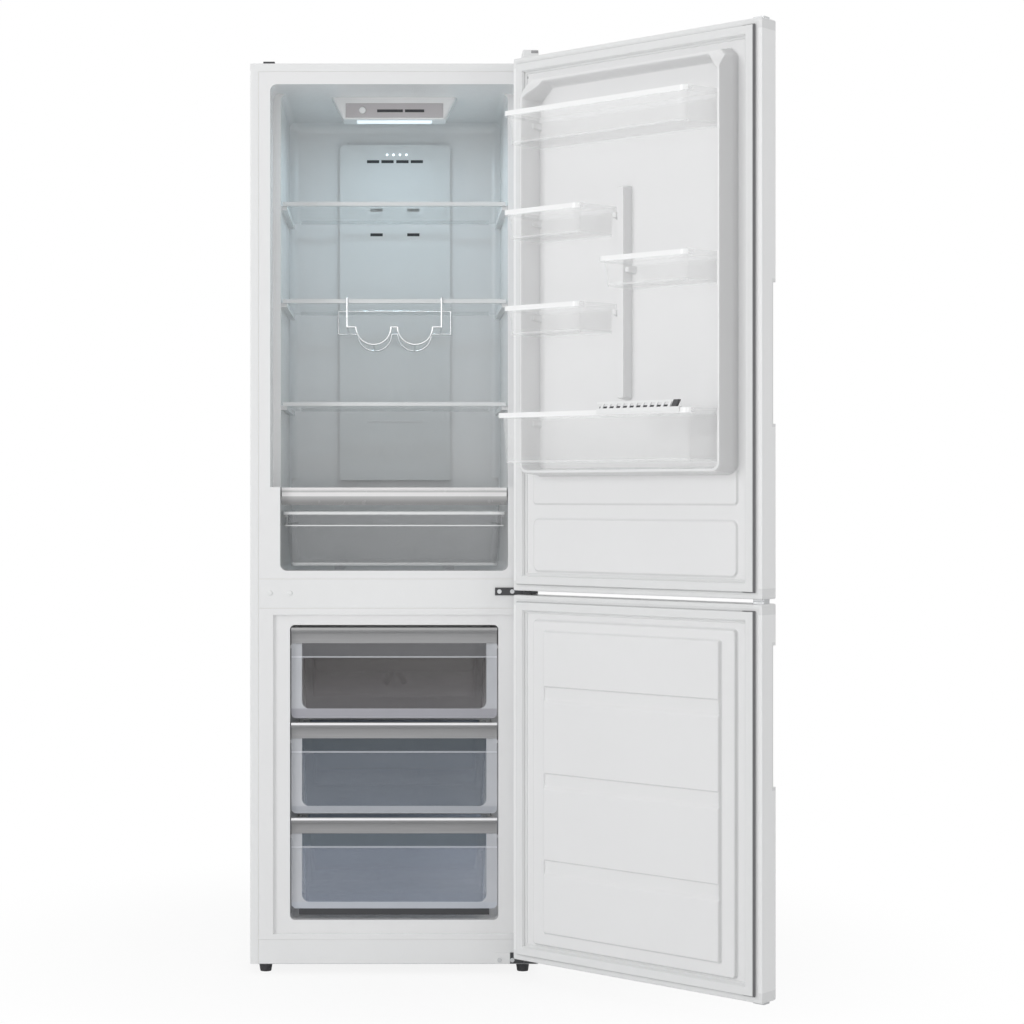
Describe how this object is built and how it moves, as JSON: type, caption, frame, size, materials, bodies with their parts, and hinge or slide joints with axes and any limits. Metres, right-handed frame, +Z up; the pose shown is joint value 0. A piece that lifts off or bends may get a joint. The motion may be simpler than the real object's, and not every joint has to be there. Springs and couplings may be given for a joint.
{
  "type": "two-door refrigerator",
  "caption": "Free-standing refrigerator with a freezer below: hinged doors with bins, glass shelves, crisper, bottle rack and clear freezer drawers, shown open.",
  "frame": {"origin": "on the floor under the middle of the case's footprint", "axes": "+Z up, +X to the right across the front, +Y back into the case; both doors stand open at rest"},
  "size_m": [1.0143, 1.0737, 1.896],
  "materials": {
    "case_paint": "gloss",
    "zinc_steel": "satin",
    "liner_plastic": "gloss",
    "white_plastic": "satin",
    "foam": "matte",
    "dark_plastic": "satin",
    "hinge_steel": "satin",
    "gasket_rubber": "matte",
    "shelf_glass": "gloss",
    "clear_plastic": "gloss",
    "lens_plastic": "satin",
    "satin_silver": "satin",
    "panel_silver": "satin",
    "rack_wire": "polished",
    "fin_aluminium": "satin",
    "compressor_paint": "satin",
    "copper_pipe": "satin",
    "foot_plastic": "matte"
  },
  "bodies": {
    "cabinet": {"outer_case": "case_paint", "back_panel": "zinc_steel", "base_pan": "zinc_steel", "insulation": "foam", "fridge_liner": "liner_plastic", "freezer_liner": "liner_plastic", "front_rails": "case_paint", "top_hinge": "hinge_steel", "middle_hinge": "hinge_steel", "bottom_hinge": "hinge_steel", "top_hinge_cover": "white_plastic", "hinge_screws": "zinc_steel", "duct_cover": "white_plastic", "control_housing": "white_plastic", "control_panel": "panel_silver", "lamp_lens": "lens_plastic", "evaporator": "fin_aluminium", "fan_motor": "dark_plastic", "freezer_duct_cover": "white_plastic", "compressor": "compressor_paint", "drip_tray": "dark_plastic", "rear_cover": "zinc_steel", "refrigerant_pipes": "copper_pipe", "crisper_lid_glass": "shelf_glass", "crisper_lid_frame": "white_plastic"},
    "upper_door": {"upper_door_skin": "case_paint", "upper_door_foam": "foam", "upper_door_mouldings": "white_plastic", "upper_door_gasket": "gasket_rubber", "upper_door_liner": "liner_plastic"},
    "lower_door": {"lower_door_skin": "case_paint", "lower_door_foam": "foam", "lower_door_mouldings": "white_plastic", "lower_door_gasket": "gasket_rubber", "lower_door_liner": "liner_plastic"},
    "bottle_comb": {"bottle_comb": "white_plastic"},
    "upper_shelf": {"upper_shelf_glass": "shelf_glass", "upper_shelf_trim": "white_plastic"},
    "middle_shelf": {"middle_shelf_glass": "shelf_glass", "middle_shelf_trim": "white_plastic", "bottle_rack": "rack_wire"},
    "lower_shelf": {"lower_shelf_glass": "shelf_glass", "lower_shelf_trim": "white_plastic"},
    "crisper": {"crisper_drawer": "clear_plastic"},
    "upper_drawer": {"upper_freezer_drawer": "clear_plastic", "upper_drawer_handle": "satin_silver"},
    "middle_drawer": {"middle_freezer_drawer": "clear_plastic", "middle_drawer_handle": "satin_silver"},
    "lower_drawer": {"lower_freezer_drawer": "clear_plastic", "lower_drawer_handle": "satin_silver"},
    "temperature_button": {"temperature_button": "white_plastic"},
    "left_foot": {"left_foot": "foot_plastic"},
    "right_foot": {"right_foot": "foot_plastic"},
    "rear_rollers": {"rear_rollers": "foot_plastic"},
    "fan_blade": {"fan_blade": "dark_plastic"},
    "top_bin": {"top_bin": "clear_plastic"},
    "left_upper_bin": {"left_upper_bin": "clear_plastic"},
    "left_lower_bin": {"left_lower_bin": "clear_plastic"},
    "right_bin": {"right_bin": "clear_plastic"},
    "bottle_bin": {"bottle_bin": "clear_plastic"}
  },
  "joints": [
    {"name": "upper_door_hinge", "type": "hinge", "parent": "cabinet", "child": "upper_door", "pos_m": [0.27915, -0.329, 0.9], "axis": [0, 0, 1], "range_deg": [-137.85, 12]},
    {"name": "lower_door_hinge", "type": "hinge", "parent": "cabinet", "child": "lower_door", "pos_m": [0.27915, -0.329, 0.4], "axis": [0, 0, 1], "range_deg": [-137.85, 12]},
    {"name": "upper_shelf_slide", "type": "slide", "parent": "cabinet", "child": "upper_shelf", "axis": [0, -1, 0], "range_m": [0, 0.25]},
    {"name": "middle_shelf_slide", "type": "slide", "parent": "cabinet", "child": "middle_shelf", "axis": [0, -1, 0], "range_m": [0, 0.25]},
    {"name": "lower_shelf_slide", "type": "slide", "parent": "cabinet", "child": "lower_shelf", "axis": [0, -1, 0], "range_m": [0, 0.25]},
    {"name": "crisper_slide", "type": "slide", "parent": "cabinet", "child": "crisper", "axis": [0, -1, 0], "range_m": [0, 0.3]},
    {"name": "upper_drawer_slide", "type": "slide", "parent": "cabinet", "child": "upper_drawer", "axis": [0, -1, 0], "range_m": [0, 0.3]},
    {"name": "middle_drawer_slide", "type": "slide", "parent": "cabinet", "child": "middle_drawer", "axis": [0, -1, 0], "range_m": [0, 0.3]},
    {"name": "lower_drawer_slide", "type": "slide", "parent": "cabinet", "child": "lower_drawer", "axis": [0, -1, 0], "range_m": [0, 0.22]},
    {"name": "top_bin_lift", "type": "slide", "parent": "upper_door", "child": "top_bin", "axis": [0, 0, 1], "range_m": [0, 0.02]},
    {"name": "left_upper_bin_lift", "type": "slide", "parent": "upper_door", "child": "left_upper_bin", "axis": [0, 0, 1], "range_m": [0, 0.02]},
    {"name": "left_lower_bin_lift", "type": "slide", "parent": "upper_door", "child": "left_lower_bin", "axis": [0, 0, 1], "range_m": [0, 0.02]},
    {"name": "right_bin_lift", "type": "slide", "parent": "upper_door", "child": "right_bin", "axis": [0, 0, 1], "range_m": [0, 0.02]},
    {"name": "bottle_bin_lift", "type": "slide", "parent": "upper_door", "child": "bottle_bin", "axis": [0, 0, 1], "range_m": [0, 0.02]},
    {"name": "comb_slide", "type": "slide", "parent": "bottle_bin", "child": "bottle_comb", "axis": [-0.7414, 0.6711, 0], "range_m": [0, 0.2]},
    {"name": "button_push", "type": "slide", "parent": "cabinet", "child": "temperature_button", "axis": [0, 1, 0], "range_m": [0, 0.0015], "stiffness_N_per_m": 400},
    {"name": "left_foot_turn", "type": "hinge", "parent": "cabinet", "child": "left_foot", "pos_m": [-0.267, -0.251, 0.01], "axis": [0, 0, 1], "continuous": true},
    {"name": "right_foot_turn", "type": "hinge", "parent": "cabinet", "child": "right_foot", "pos_m": [0.267, -0.251, 0.01], "axis": [0, 0, 1], "continuous": true},
    {"name": "rear_roller_spin", "type": "hinge", "parent": "cabinet", "child": "rear_rollers", "pos_m": [0, 0.225, 0.016], "axis": [1, 0, 0], "continuous": true},
    {"name": "fan_spin", "type": "hinge", "parent": "cabinet", "child": "fan_blade", "pos_m": [0, 0.145, 0.6], "axis": [0, 1, 0], "continuous": true}
  ]
}
